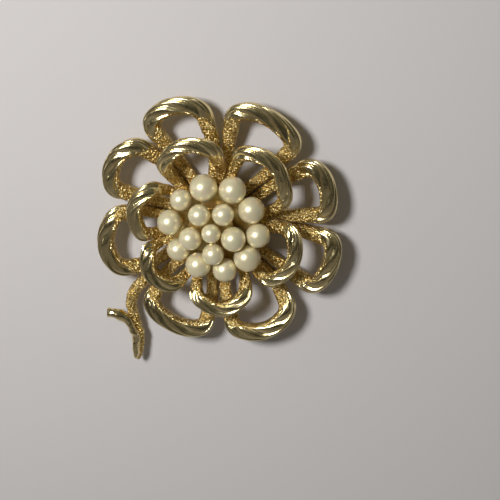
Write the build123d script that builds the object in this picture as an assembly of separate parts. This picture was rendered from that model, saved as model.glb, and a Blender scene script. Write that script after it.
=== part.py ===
from build123d import *
from dataclasses import dataclass
from math import cos, radians, sin, sqrt, tan
import os

# A flower brooch: two tiers of open petal loops, sixteen pearls, a stem and a bar pin.
# It is worn upright: +Z is up, the flower faces -Y and +X is to the viewer's right.
# The pieces are laid out with the flower on its back: x to the right, y up the flower and
# z towards the viewer, with z = 0 on the back face of the rear hub. put_upright() then
# stands each one up, with the origin on the pin, at the middle of its free length.
# Bearings are degrees clockwise from the top of the flower. All sizes are millimetres.

# ---- hubs and the rivet that holds the tiers together
rear_hub_radius = 8.5
rear_hub_thickness = 1.2
rear_boss_radius = 4.6
rear_boss_height = 1.8
front_hub_radius = 6.5
front_hub_thickness = 1.0
rivet_radius = 0.9
rivet_clearance = 0.05
rivet_head_radius = 1.6
rivet_head_thickness = 0.6

# ---- petals: each is one loop of wire-like metal with a heavier band round its outer half
outer_leg_radius = 0.9
outer_band_radius = 1.5
outer_leg_spacing = 2.3
outer_leg_start = 6.6
outer_leg_bend = 13.5
outer_flank_rise = 1.45
outer_shoulder_rise = 2.85
outer_crest_rise = 3.05
inner_leg_radius = 0.7
inner_band_radius = 1.35
inner_leg_spacing = 1.66
inner_leg_start = 4.8
inner_leg_bend = 10.2
inner_flank_rise = 1.95
inner_shoulder_rise = 3.65
inner_crest_rise = 4.05
seat_depth = 0.1
flank_lean = 0.4
bend_share = 0.45

# Bearings of the lines along which the legs of neighbouring petals run side by side
outer_joints = [325, 5, 49, 87, 127, 178, 229, 283]
inner_joints = [315, 14, 78, 141, 203, 257]

# Per petal, clockwise: left shoulder, crest and right shoulder, each (bearing, reach)
outer_outlines = [
    [(327.5, 23.1), (340.0, 24.5), (354.5, 23.1)],
    [(9.5, 22.7), (24.5, 24.2), (43.5, 23.0)],
    [(56.0, 22.5), (67.0, 23.3), (82.0, 22.0)],
    [(94.0, 22.9), (107.0, 23.4), (121.0, 22.5)],
    [(138.0, 22.1), (154.0, 23.3), (169.5, 21.4)],
    [(185.5, 21.2), (201.0, 22.0), (218.0, 21.0)],
    [(243.5, 21.2), (258.5, 21.9), (274.5, 19.5)],
    [(288.5, 20.9), (303.0, 22.9), (317.0, 21.2)],
]
inner_outlines = [
    [(324.5, 15.8), (343.0, 17.5), (2.5, 15.9)],
    [(20.5, 16.7), (41.0, 18.7), (65.0, 15.9)],
    [(88.5, 15.6), (109.0, 17.0), (130.0, 14.9)],
    [(153.5, 14.5), (173.0, 16.0), (192.0, 13.8)],
    [(214.5, 13.8), (232.0, 15.1), (250.5, 13.0)],
    [(264.5, 13.6), (286.0, 15.6), (304.0, 13.9)],
]

# ---- pearls, each (bearing, distance from the axis, diameter)
lower_pearls = [
    (351.7, 8.5, 5.2), (26.9, 9.2, 5.1), (59.6, 8.9, 5.0), (92.2, 8.9, 4.6), (125.0, 8.4, 5.1),
    (160.2, 7.8, 4.6), (200.1, 7.0, 4.8), (238.9, 7.2, 4.3), (281.2, 7.8, 4.8), (317.2, 8.1, 4.1),
]
upper_pearls = [
    (334.3, 4.1, 4.1), (34.2, 4.8, 4.1), (97.8, 4.6, 4.6), (168.4, 3.8, 4.1), (255.8, 3.6, 4.3),
]
top_pearl = (47.9, 0.7, 3.6)
lower_pearl_height = 8.7
upper_pearl_height = 10.6
top_pearl_height = 11.2

# ---- what carries the pearls: a scalloped plate and a crown on it, with a cup and a peg for each
plate_boss_radius = 4.2
plate_boss_height = 1.5
plate_radius = 8.2
plate_thickness = 0.5
lower_lobe_radius = 1.4
crown_radius = 3.6
crown_wall = 0.6
crown_height = 1.5
crown_top_thickness = 0.6
crown_top_radius = 4.3
upper_lobe_radius = 1.2
cup_radius = 1.1
cup_rim = 0.06
peg_radius = 0.35
peg_clearance = 0.05
glue_gap = 0.03
hole_end_gap = 0.3

# ---- stem and twig, each point (x, y, z)
stem_radius = 1.2
stem_points = [
    (-12.6, -10.8, 2.5), (-15.6, -13.2, 2.7), (-17.1, -16.7, 2.7),
    (-16.1, -20.4, 2.6), (-14.9, -24.4, 2.6), (-15.8, -28.0, 2.6),
]
twig_radius = 0.8
twig_points = [
    (-21.2, -18.6, 4.1), (-18.9, -18.5, 4.0), (-17.0, -20.8, 3.9),
    (-16.1, -24.0, 3.7), (-16.1, -27.8, 3.5),
]

# ---- bar pin on the back: hinge at the left, catch at the right, seen from the front
bar_length = 31.0
bar_width = 3.0
bar_thickness = 0.8
bar_rise = 5.0
pin_standoff = 2.4
foot_thickness = 0.5
hinge_x = -12.5
ear_thickness = 0.5
ear_radius = 1.35
knuckle_radius = 1.1
knuckle_length = 1.8
knuckle_side_gap = 0.1
hinge_rivet_radius = 0.45
hinge_rivet_fit = 0.02
hinge_running_fit = 0.05
hinge_head_radius = 0.85
hinge_head_thickness = 0.35
pin_radius = 0.45
pin_root_radius = 0.7
pin_root_length = 1.9
pin_free_length = 20.5
pin_taper_length = 6.6
pin_tip_radius = 0.08
catch_x = 12.6
catch_bore_radius = 0.8
catch_waist_radius = 1.25
catch_waist_length = 1.6
catch_flange_radius = 1.75
catch_flange_thickness = 0.5
catch_slot_width = 1.3
catch_post_width = 1.8
collar_running_fit = 0.05
collar_side_gap = 0.1
collar_radius = 1.8
collar_tab_reach = 2.7
collar_tab_thickness = 0.7
collar_tab_bearing = 75

# ---- places worked out from the sizes above
rear_face = rear_hub_thickness
front_hub_back = rear_face + rear_boss_height
front_face = front_hub_back + front_hub_thickness
plate_back = front_face + plate_boss_height
plate_face = plate_back + plate_thickness
crown_face = plate_face + crown_height + crown_top_thickness
pin_height = -bar_thickness - pin_standoff
pin_free_start = hinge_x + pin_root_length
grip_middle = pin_free_start + pin_free_length / 2


@dataclass
class Tier:
    joints: list
    outlines: list
    face: float
    leg_radius: float
    band_radius: float
    leg_spacing: float
    leg_start: float
    leg_bend: float
    flank_rise: float
    shoulder_rise: float
    crest_rise: float


outer_tier = Tier(
    outer_joints, outer_outlines, rear_face, outer_leg_radius, outer_band_radius,
    outer_leg_spacing, outer_leg_start, outer_leg_bend,
    outer_flank_rise, outer_shoulder_rise, outer_crest_rise,
)
inner_tier = Tier(
    inner_joints, inner_outlines, front_face, inner_leg_radius, inner_band_radius,
    inner_leg_spacing, inner_leg_start, inner_leg_bend,
    inner_flank_rise, inner_shoulder_rise, inner_crest_rise,
)


def at(bearing, reach, height):
    """A point by its bearing and distance from the flower's axis."""
    return Vector(reach * sin(radians(bearing)), reach * cos(radians(bearing)), height)


def disc(radius, thickness, base):
    """A round plate on the flower's axis, standing on the height base."""
    return Pos(0, 0, base) * Cylinder(radius, thickness, align=(Align.CENTER, Align.CENTER, Align.MIN))


def bend_radii(points):
    """The radius at each corner that uses bend_share of its shorter run."""
    radii = []
    for before, corner, after in zip(points, points[1:], points[2:]):
        run = min((corner - before).length, (after - corner).length)
        turn = radians((corner - before).get_angle(after - corner))
        radii.append(bend_share * run / tan(turn / 2))
    return radii


def tube(points, radius, radii):
    """A round bar along straight runs joined by tangent arcs."""
    path = FilletPolyline(*points, radius=radii)
    section = Plane(origin=path @ 0, z_dir=path % 0) * Circle(radius)
    return sweep(section, path=path)


def half_petal(tier, joint, side, shoulder):
    """The points of one leg and flank, from the hub out to the shoulder."""
    leg_height = tier.face + tier.leg_radius - seat_depth
    beside = at(joint + 90, side * tier.leg_spacing / 2, 0)
    start = at(joint, tier.leg_start, leg_height) + beside
    bend = at(joint, tier.leg_bend, leg_height) + beside
    bearing, reach = shoulder
    corner = at(bearing, reach, leg_height + tier.shoulder_rise)
    flank = bend + (corner - bend) * 0.5
    toward_joint = at(joint, flank.length, 0) - at(bearing, flank.length, 0)
    flank = flank + toward_joint * (0.5 - flank_lean) + beside * (0.5 - flank_lean)
    flank = Vector(flank.X, flank.Y, leg_height + tier.flank_rise)
    return [start, bend, flank, corner]


def petal(tier, index):
    """One petal loop: a leg from each joint line, and the heavier band between the flanks."""
    left_joint = tier.joints[index]
    right_joint = tier.joints[(index + 1) % len(tier.joints)]
    left_shoulder, crest, right_shoulder = tier.outlines[index]
    leg_height = tier.face + tier.leg_radius - seat_depth
    top = at(crest[0], crest[1], leg_height + tier.crest_rise)
    left = half_petal(tier, left_joint, 1, left_shoulder)
    right = half_petal(tier, right_joint, -1, right_shoulder)
    points = left + [top] + right[::-1]
    radii = bend_radii(points)
    wire_loop = tube(points, tier.leg_radius, radii)
    band_start = (points[2] + points[3]) * 0.5
    band_end = (points[5] + points[6]) * 0.5
    band = tube([band_start] + points[3:6] + [band_end], tier.band_radius, radii[2:5])
    return wire_loop + band


def rear_hub():
    hub = disc(rear_hub_radius, rear_hub_thickness, 0)
    hub += disc(rear_boss_radius, rear_boss_height, rear_face)
    return hub - disc(rivet_radius + rivet_clearance, front_hub_back, 0)


def front_hub():
    hub = disc(front_hub_radius, front_hub_thickness, front_hub_back)
    return hub - disc(rivet_radius + rivet_clearance, front_hub_thickness, front_hub_back)


def scalloped(radius, lobe_radius, pearls, thickness, base):
    """A plate with a round lobe under each pearl."""
    plate = disc(radius, thickness, base)
    for bearing, reach, _ in pearls:
        plate += Pos(*at(bearing, reach, 0)) * disc(lobe_radius, thickness, base)
    return plate


def pearl_plate():
    plate = scalloped(plate_radius, lower_lobe_radius, lower_pearls, plate_thickness, plate_back)
    plate += disc(plate_boss_radius, plate_boss_height, front_face)
    for spec in lower_pearls:
        plate += cup(spec, lower_pearl_height, plate_face)
    return plate - disc(rivet_radius + rivet_clearance, plate_face - front_face, front_face)


def pearl_crown():
    crown = disc(crown_radius, crown_height, plate_face)
    crown -= disc(crown_radius - crown_wall, crown_height, plate_face)
    top_base = plate_face + crown_height
    top = scalloped(
        crown_top_radius, upper_lobe_radius, upper_pearls, crown_top_thickness, top_base
    )
    crown += top + cup(top_pearl, top_pearl_height, crown_face)
    for spec in upper_pearls:
        crown += cup(spec, upper_pearl_height, crown_face)
    return crown


def centre_rivet():
    rivet = disc(rivet_radius, plate_face, 0)
    rivet += disc(rivet_head_radius, rivet_head_thickness, -rivet_head_thickness)
    return rivet + disc(rivet_head_radius, rivet_head_thickness, plate_face)


def pearl(spec, height):
    """A pearl, drilled from below to a little past its middle."""
    bearing, reach, diameter = spec
    drill = disc(peg_radius + peg_clearance, diameter / 2 + hole_end_gap, height - diameter / 2)
    return Pos(*at(bearing, reach, height)) * Sphere(diameter / 2) - Pos(*at(bearing, reach, 0)) * drill


def cup(spec, height, base):
    """A shallow cup that the pearl is glued in, with the peg that the pearl is threaded on."""
    bearing, reach, diameter = spec
    seat_radius = diameter / 2 + glue_gap
    rim = height - sqrt(seat_radius**2 - cup_radius**2) - cup_rim
    dish = disc(cup_radius, rim - base, base) - Pos(0, 0, height) * Sphere(seat_radius)
    return Pos(*at(bearing, reach, 0)) * (dish + disc(peg_radius, height - base, base))


def stem(petals):
    """The stem, notched where it is brazed between the two lowest left petals."""
    points = [Vector(*point) for point in stem_points]
    bar = tube(points, stem_radius, bend_radii(points)) + Pos(*stem_points[-1]) * Sphere(stem_radius)
    for neighbour in petals:
        bar -= neighbour
    return bar


def stem_twig(stem_bar):
    """The twig that branches off to the left and runs down the stem."""
    points = [Vector(*point) for point in twig_points]
    bar = tube(points, twig_radius, bend_radii(points)) + Pos(*twig_points[-1]) * Sphere(twig_radius)
    return bar - stem_bar


def pin_bar():
    bar = Box(bar_length - bar_width, bar_width, bar_thickness)
    for end in (-1, 1):
        bar += Pos(end * (bar_length - bar_width) / 2, 0, 0) * Cylinder(bar_width / 2, bar_thickness)
    return Pos(0, bar_rise, -bar_thickness / 2) * bar


def across(radius, length):
    """A cylinder whose axis runs up the flower, centred on the hinge axis."""
    return Pos(hinge_x, bar_rise, pin_height) * Rot(90, 0, 0) * Cylinder(radius, length)


def along(radius, length, start):
    """A cylinder along the pin's axis, from the place start towards the catch."""
    place = Pos(start, bar_rise, pin_height) * Rot(0, 90, 0)
    return place * Cylinder(radius, length, align=(Align.CENTER, Align.CENTER, Align.MIN))


def foot(length, width, place):
    """A low foot on the back of the bar."""
    return Pos(place, bar_rise, -bar_thickness - foot_thickness / 2) * Box(length, width, foot_thickness)


def hinge_bracket():
    gap = knuckle_length + 2 * knuckle_side_gap
    width = gap + 2 * ear_thickness
    ear_height = pin_standoff - foot_thickness
    ears = across(ear_radius, width)
    ears += Pos(hinge_x, bar_rise, pin_height + ear_height / 2) * Box(2 * ear_radius, width, ear_height)
    room = 2 * (pin_standoff + ear_radius)
    ears -= Pos(hinge_x, bar_rise, pin_height) * Box(room, gap, 2 * ear_height)
    ears -= across(hinge_rivet_radius + hinge_rivet_fit, width)
    return ears + foot(2 * ear_radius, width, hinge_x)


def hinge_rivet():
    width = knuckle_length + 2 * knuckle_side_gap + 2 * ear_thickness
    rivet = across(hinge_rivet_radius, width)
    heads = across(hinge_head_radius, width + 2 * hinge_head_thickness)
    return rivet + (heads - across(hinge_head_radius + ear_radius, width))


def pin_stem():
    pin = across(knuckle_radius, knuckle_length)
    pin += along(pin_root_radius, pin_root_length, hinge_x)
    pin += along(pin_radius, pin_free_length, pin_free_start)
    taper = Cone(pin_radius, pin_tip_radius, pin_taper_length, align=(Align.CENTER, Align.CENTER, Align.MIN))
    pin += Pos(pin_free_start + pin_free_length, bar_rise, pin_height) * Rot(0, 90, 0) * taper
    return pin - across(hinge_rivet_radius + hinge_running_fit, knuckle_length)


def pin_slot(length, depth):
    """The slot that the pin enters by, open towards the back."""
    return Pos(catch_x, bar_rise, pin_height - depth / 2) * Box(length, catch_slot_width, depth)


def catch_body():
    flange_span = catch_waist_length + 2 * catch_flange_thickness
    start = catch_x - flange_span / 2
    body = along(catch_waist_radius, flange_span, start)
    for flange_start in (start, start + flange_span - catch_flange_thickness):
        body += along(catch_flange_radius, catch_flange_thickness, flange_start)
        post_height = pin_standoff - foot_thickness
        post = Box(catch_flange_thickness, catch_post_width, post_height)
        middle = flange_start + catch_flange_thickness / 2
        body += Pos(middle, bar_rise, pin_height + post_height / 2) * post
    body -= along(catch_bore_radius, flange_span, start)
    body -= pin_slot(flange_span, catch_flange_radius)
    return body + foot(flange_span, catch_post_width, catch_x)


def catch_collar():
    length = catch_waist_length - 2 * collar_side_gap
    start = catch_x - length / 2
    tab_height = collar_tab_reach - catch_waist_radius - collar_running_fit
    tab = Pos(0, 0, -collar_tab_reach + tab_height / 2) * Box(length, collar_tab_thickness, tab_height)
    collar = along(collar_radius, length, start)
    collar += Pos(catch_x, bar_rise, pin_height) * Rot(-collar_tab_bearing, 0, 0) * tab
    collar -= along(catch_waist_radius + collar_running_fit, length, start)
    return collar - pin_slot(length, collar_radius)


def put_upright(shape):
    """Stand the flower up, with the origin at the middle of the pin's free length."""
    return Rot(90, 0, 0) * Pos(-grip_middle, -bar_rise, -pin_height) * shape


def pieces():
    """Every piece by its name, lying on its back."""
    named = {"rear_hub": rear_hub(), "front_hub": front_hub(), "centre_rivet": centre_rivet()}
    for index in range(len(outer_outlines)):
        named[f"outer_petal_{index + 1}"] = petal(outer_tier, index) - named["rear_hub"]
    for index in range(len(inner_outlines)):
        named[f"inner_petal_{index + 1}"] = petal(inner_tier, index) - named["front_hub"]
    named["pearl_plate"] = pearl_plate()
    named["pearl_crown"] = pearl_crown()
    pearls = [pearl(spec, lower_pearl_height) for spec in lower_pearls]
    pearls += [pearl(spec, upper_pearl_height) for spec in upper_pearls]
    pearls.append(pearl(top_pearl, top_pearl_height))
    for index, shape in enumerate(pearls):
        named[f"pearl_{index + 1:02d}"] = shape
    named["stem"] = stem([named["outer_petal_6"], named["outer_petal_7"]])
    named["stem_twig"] = stem_twig(named["stem"])
    named["pin_bar"] = pin_bar()
    named["hinge_bracket"] = hinge_bracket()
    named["hinge_rivet"] = hinge_rivet()
    named["pin_stem"] = pin_stem()
    named["catch_body"] = catch_body()
    named["catch_collar"] = catch_collar()
    return named


os.makedirs("parts", exist_ok=True)
for name, shape in pieces().items():
    export_step(put_upright(shape), f"parts/{name}.step")
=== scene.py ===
import math

import bmesh
import bpy
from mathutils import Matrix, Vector


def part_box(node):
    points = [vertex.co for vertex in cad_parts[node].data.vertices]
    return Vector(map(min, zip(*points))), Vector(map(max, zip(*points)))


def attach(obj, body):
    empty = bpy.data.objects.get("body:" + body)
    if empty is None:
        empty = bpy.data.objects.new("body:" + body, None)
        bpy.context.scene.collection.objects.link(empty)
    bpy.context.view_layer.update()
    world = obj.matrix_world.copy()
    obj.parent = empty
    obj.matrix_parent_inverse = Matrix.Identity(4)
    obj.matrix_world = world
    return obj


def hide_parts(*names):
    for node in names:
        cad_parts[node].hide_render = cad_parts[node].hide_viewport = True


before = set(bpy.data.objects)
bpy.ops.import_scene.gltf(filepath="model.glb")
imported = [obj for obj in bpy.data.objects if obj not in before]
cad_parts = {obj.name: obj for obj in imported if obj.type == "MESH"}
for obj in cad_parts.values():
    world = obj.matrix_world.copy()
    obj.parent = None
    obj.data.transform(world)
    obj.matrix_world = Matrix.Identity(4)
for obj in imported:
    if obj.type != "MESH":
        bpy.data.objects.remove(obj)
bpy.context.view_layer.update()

# ---- Outer petals ---------------------------------------------------------------------------
# Eight loops of gold-plated casting, each with two grained legs soldered flat on the rear hub.
# The legs swell into a heavier band, polished and fluted like a rope on its outer side and
# grained on its inner side. The flutes turn the same way on every petal.
MM = 0.001
hub_low, hub_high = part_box("rear_hub")
axis_x = (hub_low[0] + hub_high[0]) / 2
axis_z = (hub_low[2] + hub_high[2]) / 2
hub_back = hub_high[1]


def flower_point(bearing, reach, height):
    """A place on the flower, in metres. The bearing is degrees clockwise from its top, seen from
    the front. The reach from the hub's axis and the height off its back face are millimetres."""
    turn = math.radians(bearing)
    across = reach * MM * math.sin(turn)
    upward = reach * MM * math.cos(turn)
    return Vector((axis_x + across, hub_back - height * MM, axis_z + upward))


class Wire:
    """A socket in a node tree. Sums on it add Math nodes, and node() adds any other node."""

    def __init__(self, tree, socket=None):
        self.tree = tree
        self.socket = socket

    def node(self, kind, settings=None, values=None, output=0):
        """Add a node with its settings and its inputs' values or wires, and give one output."""
        made = self.tree.nodes.new(kind)
        for name, setting in (settings or {}).items():
            setattr(made, name, setting)
        for key, value in (values or {}).items():
            if isinstance(value, Wire):
                value.feed(made, key)
            else:
                made.inputs[key].default_value = value
        return Wire(self.tree, made.outputs[output] if len(made.outputs) else None)

    def feed(self, node, key):
        """Link this socket to an input of a node."""
        self.tree.links.new(self.socket, node.inputs[key])

    def other(self, name):
        """Another output of the node that this socket is on."""
        return Wire(self.tree, self.socket.node.outputs[name])

    def maths(self, operation, *others):
        values = dict(enumerate((self,) + others))
        return self.node("ShaderNodeMath", {"operation": operation}, values)

    def vector(self, operation, *others):
        values = dict(enumerate((self,) + others))
        return self.node("ShaderNodeVectorMath", {"operation": operation}, values)

    def stretched(self, length):
        values = {0: self, "Scale": length}
        return self.node("ShaderNodeVectorMath", {"operation": "SCALE"}, values)

    def eased(self, low, high, low_value=0.0, high_value=1.0):
        """A smooth step from low_value, where this is low, to high_value, where it is high."""
        values = {
            "Value": self, "From Min": low, "From Max": high,
            "To Min": low_value, "To Max": high_value,
        }
        return self.node("ShaderNodeMapRange", {"interpolation_type": "SMOOTHSTEP"}, values)

    def mixed(self, low, high):
        """A colour between two colours, by this factor."""
        values = {"Factor": self, 6: low, 7: high}
        return self.node("ShaderNodeMix", {"data_type": "RGBA"}, values, output=2)

    def noise(self, scale, detail):
        """Noise read at this place."""
        values = {"Vector": self, "Scale": scale, "Detail": detail}
        return self.node("ShaderNodeTexNoise", {}, values)

    def stored(self, name, kind, value):
        """This geometry, with a value kept on its points under a name."""
        settings = {"data_type": kind, "domain": "POINT"}
        values = {"Geometry": self, "Name": name, "Value": value}
        return self.node("GeometryNodeStoreNamedAttribute", settings, values)

    def recalled(self, name, kind):
        """The value that is kept on points under a name."""
        return self.node("GeometryNodeInputNamedAttribute", {"data_type": kind}, {"Name": name})

    def __add__(self, other):
        return self.maths("ADD", other)

    def __sub__(self, other):
        return self.maths("SUBTRACT", other)

    def __rsub__(self, other):
        return self.node("ShaderNodeMath", {"operation": "SUBTRACT"}, {0: other, 1: self})

    def __mul__(self, other):
        return self.maths("MULTIPLY", other)

    __radd__ = __add__
    __rmul__ = __mul__

    def __pow__(self, other):
        return self.maths("POWER", other)


def new_finish(name):
    """A new material, its shader, and a wire that adds nodes to it."""
    finish = bpy.data.materials.new(name)
    finish.use_nodes = True
    return finish, finish.node_tree.nodes["Principled BSDF"], Wire(finish.node_tree)


grain_scale = 2900.0


def petal_metal():
    """Gold plate: polished pale gold where the attribute polish is 1. At 0 it is rough cast texture
    whose colour is darker as painted shade in the low pits and paler as painted glints on the raised
    cells.
    """
    # The dark colour is gold with painted shade for the low pits, and the pale one is gold with
    # painted glints for the raised cells.
    gold_with_pit_shade, gold_with_grain_glint = (0.53, 0.33, 0.08, 1), (1.0, 0.83, 0.40, 1)
    deep_shine, pale_shine = (0.66, 0.52, 0.24, 1), (0.93, 0.80, 0.47, 1)
    pit_shade_distance, grain_glint_distance = 0.70, 0.20
    polished_rough = 0.09
    scuffed_rough = 0.16
    grained_rough = 0.16
    fine_height = 0.8
    scuff_height = 0.12
    bump_depth = 0.2 * MM
    metal, shader, start = new_finish("petal gold")
    place = start.node("ShaderNodeTexCoord", output="Object")
    polish = start.node("ShaderNodeAttribute", {"attribute_name": "polish"}, output="Fac")
    cells = start.node("ShaderNodeTexVoronoi", {}, {"Vector": place, "Scale": grain_scale})
    fine = place.noise(scale=4000.0, detail=2.0)
    scuffs = place.noise(scale=1500.0, detail=4.0)
    # Painted shade and glints: the colour darkens towards each cell's low edge and pales towards its
    # raised middle, following the bump.
    grain_shade_and_glint = cells.eased(pit_shade_distance, grain_glint_distance).mixed(gold_with_pit_shade, gold_with_grain_glint)
    polished = place.noise(scale=900.0, detail=3.0).mixed(deep_shine, pale_shine)
    rough = (1 - polish) * grained_rough + scuffs * scuffed_rough + polished_rough
    height = (fine * fine_height - cells) * (1 - polish) + scuffs * scuff_height
    relief = {"Height": height, "Distance": bump_depth, "Strength": 1.0}
    polish.mixed(grain_shade_and_glint, polished).feed(shader, "Base Color")
    rough.feed(shader, "Roughness")
    start.node("ShaderNodeBump", {}, relief).feed(shader, "Normal")
    shader.inputs["Metallic"].default_value = 1.0
    return metal


petal_gold = petal_metal()


def new_loft(name, sizes, counts):
    """A new tree that takes a path, sizes, counts and a metal and gives a skin, and its inputs."""
    tree = bpy.data.node_groups.new(name, "GeometryNodeTree")
    tree.interface.new_socket("Path", in_out="INPUT", socket_type="NodeSocketGeometry")
    tree.interface.new_socket("Skin", in_out="OUTPUT", socket_type="NodeSocketGeometry")
    for kind, defaults in (("NodeSocketFloat", sizes), ("NodeSocketInt", counts)):
        for label, default in defaults.items():
            socket = tree.interface.new_socket(label, in_out="INPUT", socket_type=kind)
            socket.default_value = default
    tree.interface.new_socket("Metal", in_out="INPUT", socket_type="NodeSocketMaterial")
    group = Wire(tree).node("NodeGroupInput")
    given = {label: group.other(label) for label in ("Path", *sizes, *counts, "Metal")}
    return tree, given


def path_and_ring(start, given):
    """The path in even steps, with each step's centre and share of the length, and the ring."""
    steps = {"Curve": given["Path"], "Count": given["Rings"]}
    path = start.node("GeometryNodeResampleCurve", {}, steps)
    path = path.stored("centre", "FLOAT_VECTOR", start.node("GeometryNodeInputPosition"))
    path = path.stored("share", "FLOAT", start.node("GeometryNodeSplineParameter"))
    outline = {"Resolution": given["Sides"], "Radius": MM}
    return path, start.node("GeometryNodeCurvePrimitiveCircle", {}, outline)


def swept(path, ring):
    """The skin of a ring carried along a path, closed at both ends."""
    values = {"Curve": path, "Profile Curve": ring, "Fill Caps": True}
    return path.node("GeometryNodeCurveToMesh", {}, values)


def finish_loft(skin, spot, polish, metal):
    """Move each point of a skin to its spot, with its polish and its metal, and end the tree."""
    skin = skin.stored("polish", "FLOAT", polish)
    skin = skin.node("GeometryNodeSetPosition", {}, {"Geometry": skin, "Position": spot})
    skin = skin.node("GeometryNodeSetShadeSmooth", {}, {"Geometry": skin})
    skin = skin.node("GeometryNodeRealizeInstances", {}, {"Geometry": skin})
    skin = skin.node("GeometryNodeSetMaterial", {}, {"Geometry": skin, "Material": metal})
    skin.node("NodeGroupOutput", {}, {"Skin": skin})


def petal_tree():
    """A tree that lofts one petal along its path, with the band's swell, flutes and grain."""
    sizes = {
        "Leg width": 2.05 * MM, "Leg depth": 1.8 * MM, "Band width": 3.3 * MM,
        "Band depth": 2.6 * MM, "Swell start": 0.12, "Swell full": 0.40,
        "Polish start": 0.22, "Polish full": 0.40, "Flutes": 7.0, "Flute depth": 0.34 * MM,
        "Twist per metre": math.radians(-11.0) / MM, "Grain depth": 0.27 * MM,
        "Grain scale": grain_scale,
    }
    # Angles run round the section, from 0 where it faces outwards to a quarter turn at the front.
    back_edge = (math.radians(-85), math.radians(-65))
    front_edge_range = (math.radians(-10), math.radians(130))
    front_blur = math.radians(16)
    polish_onset = 0.09
    groove_sharpness = 1.5
    section_power = 0.62
    tree, given = new_loft("petal loop", sizes, {"Rings": 420, "Sides": 84})
    start = Wire(tree)
    place = start.node("GeometryNodeSplineParameter")
    path, ring = path_and_ring(start, given)
    path = path.stored("along", "FLOAT_VECTOR", start.node("GeometryNodeInputTangent"))
    path = path.stored("run", "FLOAT", place.other("Length"))
    skin = swept(path, ring.stored("turn", "FLOAT", place))

    # From either end the leg comes first, then the swell of the band, widest at the crest.
    from_end = 0.5 - (start.recalled("share", "FLOAT") - 0.5).maths("ABSOLUTE")
    swell = from_end.eased(given["Swell start"], given["Swell full"])
    angle = (start.recalled("turn", "FLOAT") - 0.5) * math.tau
    front_edge = from_end.eased(given["Polish start"], given["Polish full"], *front_edge_range)
    before = 1 - (angle - front_edge).eased(-front_blur, front_blur)
    begun = from_end.eased(given["Polish start"], given["Polish start"] + polish_onset)
    polish = angle.eased(*back_edge) * before * begun

    # Rounded lobes with sharp grooves between them wind round the polished side.
    wound = start.recalled("run", "FLOAT") * given["Twist per metre"] * given["Flutes"] * 0.5
    lobes = (angle * given["Flutes"] * 0.5 + wound).maths("SINE").maths("ABSOLUTE")
    groove = (1 - lobes) ** groove_sharpness * given["Flute depth"] * polish
    pattern = {"Vector": start.node("GeometryNodeInputPosition"), "Scale": given["Grain scale"]}
    cells = start.node("ShaderNodeTexVoronoi", {}, pattern)
    grain = (cells - 0.5) * given["Grain depth"] * (1 - polish)

    def half_size(leg, band):
        """Half the section's width or depth, with its grain and its grooves."""
        return (given[leg] + (given[band] - given[leg]) * swell) * 0.5 + grain - groove

    def flattened(part, half, floor=0.001):
        """A rounded, slightly flat-sided section: the part to a power, with its sign."""
        return part * (part.maths("ABSOLUTE") + floor) ** (section_power - 1) * half

    along = start.recalled("along", "FLOAT_VECTOR")
    front = start.node("ShaderNodeCombineXYZ", {}, {"Y": -1.0})
    outward = front.vector("CROSS_PRODUCT", along).vector("NORMALIZE")
    raised = along.vector("CROSS_PRODUCT", outward)
    half_width = half_size("Leg width", "Band width")
    half_depth = half_size("Leg depth", "Band depth")
    out_part = outward.stretched(flattened(angle.maths("COSINE"), half_width))
    front_part = raised.stretched(flattened(angle.maths("SINE"), half_depth))
    centre = start.recalled("centre", "FLOAT_VECTOR")
    spot = centre.vector("ADD", out_part).vector("ADD", front_part)
    finish_loft(skin, spot, polish, given["Metal"])
    return tree


loop_tree = petal_tree()


def path_curve(name, points):
    """A smooth open curve that starts and ends on the first and last point."""
    curve = bpy.data.curves.new(name, "CURVE")
    curve.dimensions = "3D"
    spline = curve.splines.new("NURBS")
    spline.points.add(len(points) - 1)
    for target, point in zip(spline.points, points):
        target.co = (*point, 1.0)
    spline.order_u = 3
    spline.use_endpoint_u = True
    spline.resolution_u = 24
    path = bpy.data.objects.new(name, curve)
    bpy.context.scene.collection.objects.link(path)
    return path


def grown(name, source, tree, inputs, scratch):
    """Run a node tree on a source object, and keep its result as a plain mesh object."""
    modifier = source.modifiers.new("grow", "NODES")
    modifier.node_group = tree
    for socket in tree.interface.items_tree:
        if socket.in_out == "INPUT" and socket.name in inputs:
            modifier[socket.identifier] = inputs[socket.name]
    depsgraph = bpy.context.evaluated_depsgraph_get()
    mesh = bpy.data.meshes.new_from_object(source.evaluated_get(depsgraph))
    source.modifiers.remove(modifier)
    bpy.data.objects.remove(source)
    for attribute in scratch:
        mesh.attributes.remove(mesh.attributes[attribute])
    closed = bmesh.new()
    closed.from_mesh(mesh)
    bmesh.ops.recalc_face_normals(closed, faces=closed.faces)
    closed.to_mesh(mesh)
    closed.free()
    piece = bpy.data.objects.new(name, mesh)
    bpy.context.scene.collection.objects.link(piece)
    return piece


def half_petal(tier, joint, side, shoulder):
    """One leg and flank of a petal, from the hub out to its shoulder."""
    away = math.radians(joint + 90)
    beside = Vector((math.sin(away), 0, math.cos(away))) * side * tier["leg spacing"] * MM / 2
    start = flower_point(joint, tier["leg start"], tier["leg height"]) + beside
    bend = flower_point(joint, tier["leg bend"], tier["leg height"]) + beside
    bearing, reach = shoulder
    corner = flower_point(bearing, reach, tier["leg height"] + tier["shoulder rise"])
    middle = (bend + corner) / 2
    off_axis = Vector((middle.x - axis_x, 0, middle.z - axis_z)).length / MM
    toward_joint = flower_point(joint, off_axis, 0) - flower_point(bearing, off_axis, 0)
    flank = middle + (toward_joint + beside) * tier["flank pull"]
    flank.y = hub_back - (tier["leg height"] + tier["flank rise"]) * MM
    return [start, bend, flank, corner]


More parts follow.
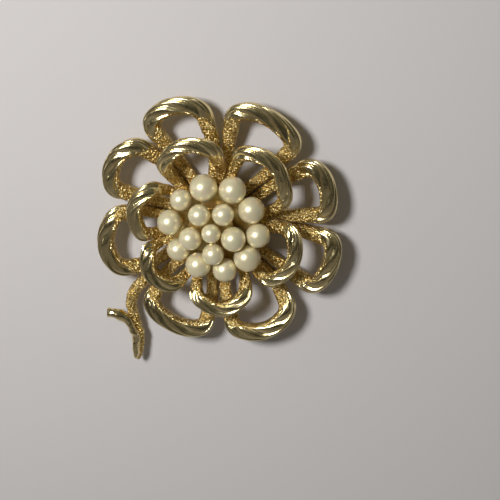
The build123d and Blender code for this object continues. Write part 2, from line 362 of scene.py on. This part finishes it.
def make_petals(tier, inputs):
    """Every petal of one tier, each from its left shoulder, crest and right shoulder."""
    joints = tier["joints"]
    scratch = ["centre", "along", "share", "run", "turn"]
    for index, (left_shoulder, crest, right_shoulder) in enumerate(tier["outlines"]):
        left = half_petal(tier, joints[index], 1, left_shoulder)
        right = half_petal(tier, joints[(index + 1) % len(joints)], -1, right_shoulder)
        top = flower_point(*crest, tier["leg height"] + tier["crest rise"])
        path = path_curve("petal path", left + [top] + right[::-1])
        name = f"{tier['name']}_petal_{index + 1}"
        petal = grown(name + "_band", path, loop_tree, {**inputs, "Metal": petal_gold}, scratch)
        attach(petal, "flower")
        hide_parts(name)


# A tier's joints are the bearings where two petals' legs meet, and each outline gives the bearing
# and reach of a petal's left shoulder, crest and right shoulder. The other sizes are millimetres,
# but the flank pull is a share of the way towards the joint.
outer_tier = {
    "name": "outer",
    "joints": [325, 5, 49, 87, 127, 178, 229, 283],
    "outlines": [
        [(327.5, 23.1), (340.0, 24.5), (354.5, 23.1)],
        [(9.5, 22.7), (24.5, 24.2), (43.5, 23.0)],
        [(56.0, 22.5), (67.0, 23.3), (82.0, 22.0)],
        [(94.0, 22.9), (107.0, 23.4), (121.0, 22.5)],
        [(138.0, 22.1), (154.0, 23.3), (169.5, 21.4)],
        [(185.5, 21.2), (201.0, 22.0), (218.0, 21.0)],
        [(243.5, 21.2), (258.5, 21.9), (274.5, 19.5)],
        [(288.5, 20.9), (303.0, 22.9), (317.0, 21.2)],
    ],
    "leg height": 2.0, "leg spacing": 2.3, "leg start": 6.6, "leg bend": 13.5,
    "flank rise": 1.45, "shoulder rise": 2.85, "crest rise": 3.05, "flank pull": 0.1,
}
make_petals(outer_tier, {})

# ---- Inner petals ---------------------------------------------------------------------------
# Six smaller loops of the same casting stand in front, soldered on the front hub. They rise
# steeply past the pearls, and their polished bands start nearer to their legs.
inner_tier = {
    "name": "inner",
    "joints": [315, 14, 78, 141, 203, 257],
    "outlines": [
        [(324.5, 15.8), (343.0, 17.5), (2.5, 15.9)],
        [(20.5, 16.7), (41.0, 18.7), (65.0, 15.9)],
        [(88.5, 15.6), (109.0, 17.0), (130.0, 14.9)],
        [(153.5, 14.5), (173.0, 16.0), (192.0, 13.8)],
        [(214.5, 13.8), (232.0, 15.1), (250.5, 13.0)],
        [(264.5, 13.6), (286.0, 15.6), (304.0, 13.9)],
    ],
    "leg height": 4.6, "leg spacing": 1.66, "leg start": 4.8, "leg bend": 10.2,
    "flank rise": 1.95, "shoulder rise": 3.65, "crest rise": 4.05, "flank pull": 0.1,
}
inner_sizes = {
    "Leg width": 1.6 * MM, "Leg depth": 1.4 * MM, "Band width": 2.85 * MM, "Band depth": 2.25 * MM,
    "Swell start": 0.15, "Swell full": 0.36, "Polish start": 0.18, "Polish full": 0.36,
    "Flutes": 8.0,
}
make_petals(inner_tier, inner_sizes)

# ---- Pearls ---------------------------------------------------------------------------------
# Sixteen imitation pearls: hard beads dipped in cream lacquer, drilled and glued on pegs. Each
# is a hair out of round. The drilled hole, which the peg fills out of sight, is left out here.
pearl_count = 16


def pearl_lustre():
    """Cream lacquer with a pearly glow under a clear coat."""
    shade, cream = (0.93, 0.82, 0.52, 1), (1.0, 0.92, 0.66, 1)
    smoothest = 0.32
    cloud_rough = 0.10
    lustre, shader, start = new_finish("pearl lustre")
    place = start.node("ShaderNodeTexCoord", output="Object")
    cloud = place.noise(scale=320.0, detail=2.0)
    cloud.mixed(shade, cream).feed(shader, "Base Color")
    (cloud * cloud_rough + smoothest).feed(shader, "Roughness")
    shader.inputs["Metallic"].default_value = 0.45
    shader.inputs["Coat Weight"].default_value = 0.6
    shader.inputs["Coat Roughness"].default_value = 0.14
    shader.inputs["Subsurface Weight"].default_value = 0.2
    shader.inputs["Subsurface Scale"].default_value = 0.8 * MM
    return lustre


pearl_cream = pearl_lustre()


def make_pearl(node):
    """One bead, as wide as its node and standing as far forward."""
    out_of_round = 0.004
    ripples_across = 1700
    ripples_upward = 1500
    ripple_shift = 40
    low, high = (Vector(corner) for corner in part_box(node))
    radius = (high.x - low.x) / 2
    middle = Vector(((low.x + high.x) / 2, low.y + radius, (low.z + high.z) / 2))
    bead = bmesh.new()
    bmesh.ops.create_icosphere(bead, subdivisions=5, radius=radius)
    for vertex in bead.verts:
        across = math.sin(ripples_across * vertex.co.x + ripple_shift * middle.x)
        ripple = across * math.cos(ripples_upward * vertex.co.z)
        vertex.co = middle + vertex.co * (1 - out_of_round * (1 + ripple))
    for face in bead.faces:
        face.smooth = True
    mesh = bpy.data.meshes.new(node)
    bead.to_mesh(mesh)
    bead.free()
    mesh.materials.append(pearl_cream)
    pearl = bpy.data.objects.new(node + "_bead", mesh)
    bpy.context.scene.collection.objects.link(pearl)
    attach(pearl, "flower")
    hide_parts(node)


for number in range(1, pearl_count + 1):
    make_pearl(f"pearl_{number:02d}")

# ---- Stem and twig --------------------------------------------------------------------------
# The stem is a cast bar with a bark-like grain, brazed between the two lowest left petals. The
# twig is a polished strand with a cut end, which starts out to the left and runs down the stem.


def stem_tree():
    """A tree that lofts a tapering bar along a path, with lumps and grain on its skin."""
    sizes = {
        "Top width": 2.6 * MM, "Tip width": 1.4 * MM, "Rounded end": 0.09,
        "Lump depth": 0.5 * MM, "Lump scale": 700.0, "Grain depth": 0.5 * MM,
        "Grain scale": 1900.0, "Polish": 0.0,
    }
    tree, given = new_loft("stem bar", sizes, {"Rings": 200, "Sides": 48})
    start = Wire(tree)
    skin = swept(*path_and_ring(start, given))
    spot = start.node("GeometryNodeInputPosition")
    centre = start.recalled("centre", "FLOAT_VECTOR")
    share = start.recalled("share", "FLOAT")
    lumps = (spot.noise(given["Lump scale"], detail=1.0) - 0.5) * given["Lump depth"]
    grain = (spot.noise(given["Grain scale"], detail=2.0) - 0.5) * given["Grain depth"]
    half = (given["Top width"] + (given["Tip width"] - given["Top width"]) * share) * 0.5
    half = half + lumps + grain * (1 - given["Polish"])
    to_end = (1 - share) * given["Rounded end"] ** -1
    rounding = (1 - (1 - to_end.maths("MINIMUM", 1.0)) ** 2).maths("SQRT")
    arm = spot.vector("SUBTRACT", centre).vector("NORMALIZE").stretched(half * rounding)
    finish_loft(skin, centre.vector("ADD", arm), given["Polish"], given["Metal"])
    return tree


bar_tree = stem_tree()


def flower_place(across, upward, height):
    """A place on the flower by its distance across and up from the axis, in millimetres."""
    return Vector((axis_x + across * MM, hub_back - height * MM, axis_z + upward * MM))


def make_bar(node, name, points, inputs):
    """One bar along its points, each given across, upward and in height."""
    path = path_curve(name + " path", [flower_place(*point) for point in points])
    bar = grown(name, path, bar_tree, {**inputs, "Metal": petal_gold}, ["centre", "share"])
    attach(bar, "flower")
    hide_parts(node)


stem_points = [
    (-11.7, -9.9, 2.5), (-15.6, -13.2, 2.7), (-17.1, -16.7, 2.7),
    (-16.1, -20.4, 2.6), (-14.9, -24.4, 2.6), (-15.8, -28.9, 2.6),
]
twig_points = [
    (-21.2, -18.7, 4.1), (-19.3, -18.7, 4.0), (-16.9, -20.6, 3.9),
    (-15.5, -24.2, 3.7), (-15.9, -28.5, 3.4),
]
twig_sizes = {
    "Top width": 2.1 * MM, "Tip width": 1.2 * MM, "Lump depth": 1.0 * MM, "Lump scale": 520.0,
    "Polish": 1.0,
}
make_bar("stem", "stem_bark", stem_points, {})
make_bar("stem_twig", "twig_strand", twig_points, twig_sizes)

# ---- Hubs, pearl plates, rivet and pin finding ----------------------------------------------
# The hubs, plates, rivets, bar, hinge and catch are satin gold plate over brass, and the pin is
# a brighter plated steel wire. Their shapes stay as built.


def satin_gold(name, dark, light, roughness, grain):
    """Gold plate with a fine cast grain of the given strength."""
    uneven_rough = 0.15
    bump_depth = 0.06 * MM
    metal, shader, start = new_finish(name)
    place = start.node("ShaderNodeTexCoord", output="Object")
    tone = place.noise(scale=600.0, detail=3.0)
    fine = place.noise(scale=4200.0, detail=2.0)
    relief = {"Height": fine, "Distance": bump_depth, "Strength": grain}
    tone.mixed(dark, light).feed(shader, "Base Color")
    (tone * uneven_rough + roughness).feed(shader, "Roughness")
    start.node("ShaderNodeBump", {}, relief).feed(shader, "Normal")
    shader.inputs["Metallic"].default_value = 1.0
    return metal


finding_gold = satin_gold(
    "finding gold", dark=(0.55, 0.40, 0.15, 1), light=(0.80, 0.63, 0.30, 1), roughness=0.22, grain=0.6
)
pin_plate = satin_gold(
    "pin plate", dark=(0.80, 0.66, 0.36, 1), light=(0.88, 0.76, 0.48, 1), roughness=0.12, grain=0.1
)
for node in (
    "rear_hub", "front_hub", "centre_rivet", "pearl_plate", "pearl_crown", "pin_bar",
    "hinge_bracket", "hinge_rivet", "catch_body", "catch_collar",
):
    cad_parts[node].material_slots[0].material = finding_gold
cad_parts["pin_stem"].material_slots[0].material = pin_plate

# ---- Stage ----------------------------------------------------------------------------------
# A pale pad stands level with the back of the rear hub, in front of the pin finding, and a pale
# floor lies well below. The pad shows only from the front, so from behind the finding is seen.


def stage_plane(name, corners, colour, one_sided):
    """A plain plane, clear from behind where it is one-sided."""
    paint, shader, start = new_finish(name)
    shader.inputs["Base Color"].default_value = colour
    shader.inputs["Roughness"].default_value = 0.9
    if one_sided:
        back = start.node("ShaderNodeNewGeometry", output="Backfacing")
        clear = start.node("ShaderNodeBsdfTransparent")
        surface = Wire(paint.node_tree, shader.outputs[0])
        shown = start.node("ShaderNodeMixShader", {}, {0: back, 1: surface, 2: clear})
        shown.feed(paint.node_tree.nodes["Material Output"], "Surface")
    mesh = bpy.data.meshes.new(name)
    mesh.from_pydata(corners, [], [(0, 1, 2, 3)])
    mesh.materials.append(paint)
    plane = bpy.data.objects.new(name, mesh)
    bpy.context.scene.collection.objects.link(plane)


pad_y = hub_back - 0.05 * MM
pad_half_width = 0.5
pad_top = 0.4
floor_z = -0.30
floor_half = 1.0
pale = (0.70, 0.67, 0.665, 1)
pad_corners = [
    (-pad_half_width, pad_y, floor_z), (pad_half_width, pad_y, floor_z),
    (pad_half_width, pad_y, pad_top), (-pad_half_width, pad_y, pad_top),
]
floor_corners = [
    (-floor_half, -floor_half, floor_z), (floor_half, -floor_half, floor_z),
    (floor_half, floor_half, floor_z), (-floor_half, floor_half, floor_z),
]
stage_plane("pale_pad", pad_corners, pale, one_sided=True)
stage_plane("pale_floor", floor_corners, pale, one_sided=False)

# ---- Light ----------------------------------------------------------------------------------
# One small soft panel up and to the left throws the shadows to the right, and a weak one lights
# the left side. The room is dim in front, so that the polished bands stay dark between
# highlights. What is seen past the pad is pale.


def panel(name, place, size, power):
    """A square light panel that faces the flower."""
    lamp = bpy.data.lights.new(name, "AREA")
    lamp.size = size
    lamp.energy = power
    holder = bpy.data.objects.new(name, lamp)
    holder.location = place
    holder.rotation_euler = (-Vector(place)).to_track_quat("-Z", "Y").to_euler()
    bpy.context.scene.collection.objects.link(holder)


panel("key", place=(-0.10, -0.262, 0.105), size=0.065, power=0.66)
panel("left_fill", place=(-0.30, -0.10, 0.02), size=0.06, power=0.03)

dim_low, dim_high = (0.008, 0.006, 0.004, 1), (0.12, 0.12, 0.10, 1)
room_behind = (0.40, 0.39, 0.38, 1)
backdrop = (0.85, 0.84, 0.83, 1)
world = bpy.data.worlds.new("studio")
bpy.context.scene.world = world
world.use_nodes = True
start = Wire(world.node_tree)
direction = start.node("ShaderNodeTexCoord", output="Generated")
upward = start.node("ShaderNodeSeparateXYZ", {}, {0: direction}, output="Z")
backward = start.node("ShaderNodeSeparateXYZ", {}, {0: direction}, output="Y")
in_front = upward.eased(-0.6, 0.9).mixed(dim_low, dim_high)
room = backward.eased(0.0, 0.6).mixed(in_front, room_behind)
seen = start.node("ShaderNodeLightPath", output="Is Camera Ray")
through = start.node("ShaderNodeLightPath", output="Is Transmission Ray")
shown = seen.maths("MAXIMUM", through).mixed(room, backdrop)
shown.feed(world.node_tree.nodes["Background"], "Color")

# ---- Camera ---------------------------------------------------------------------------------
# A long lens stands a quarter of a metre in front of the flower, a little above it and to its
# right, and looks down on it and slightly to the left.
camera_turn = math.radians(8)
camera_rise = math.radians(18)
camera_place = flower_place(across=41.83, upward=77.16, height=253.58)
looking = Vector((
    -math.sin(camera_turn) * math.cos(camera_rise),
    math.cos(camera_turn) * math.cos(camera_rise),
    -math.sin(camera_rise),
))
camera_data = bpy.data.cameras.new("camera")
camera_data.lens = 100.8
camera_data.sensor_width = 36
camera_data.clip_start = 5 * MM
camera = bpy.data.objects.new("camera", camera_data)
camera.location = camera_place
camera.rotation_euler = looking.to_track_quat("-Z", "Y").to_euler()
bpy.context.scene.collection.objects.link(camera)
bpy.context.scene.camera = camera
bpy.context.scene.view_settings.view_transform = "Standard"
